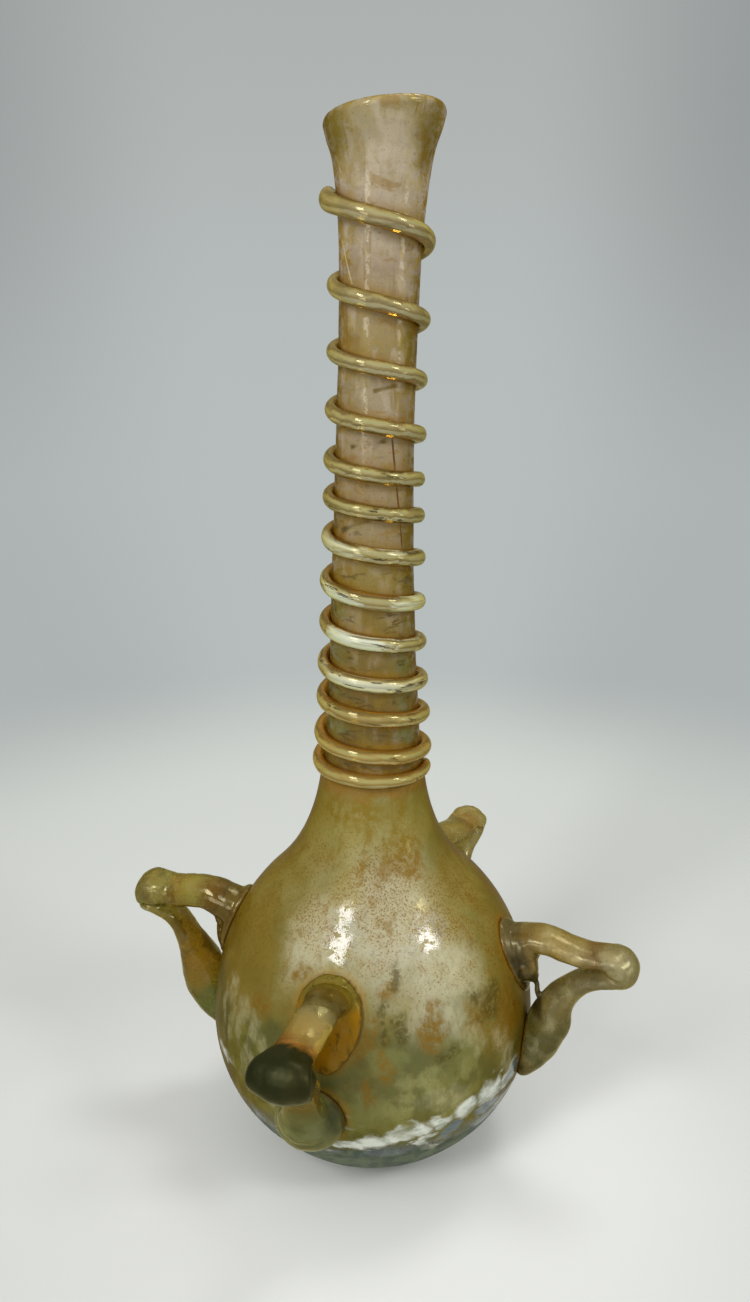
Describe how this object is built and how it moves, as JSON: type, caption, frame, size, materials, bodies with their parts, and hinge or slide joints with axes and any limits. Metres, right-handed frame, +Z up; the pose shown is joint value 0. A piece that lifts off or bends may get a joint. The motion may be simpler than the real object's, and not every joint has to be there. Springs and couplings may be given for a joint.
{
  "type": "glass bottle",
  "caption": "Round-bodied glass bottle with a tall flared neck, a glass thread wound round the neck and folded trailed handles round the shoulder.",
  "frame": {"origin": "on the table under the middle of the bounding box, on the round body's axis", "axes": "+Z up along the neck, -Y towards handle_front, +X towards handle_right"},
  "size_m": [0.1228, 0.1227, 0.2299],
  "materials": {
    "vessel_glass": "weathered olive-amber blown glass, satin with iridescent and brown crust",
    "trail_glass": "glossy olive to silvery glass thread with dark streaks",
    "handle_glass": "glossy olive-amber hot-worked glass with brown deposit in the folds"
  },
  "bodies": {
    "root": {"vessel": "vessel_glass", "neck_trail": "trail_glass", "handle_front": "handle_glass", "handle_right": "handle_glass", "handle_back": "handle_glass", "handle_left": "handle_glass"}
  },
  "joints": []
}
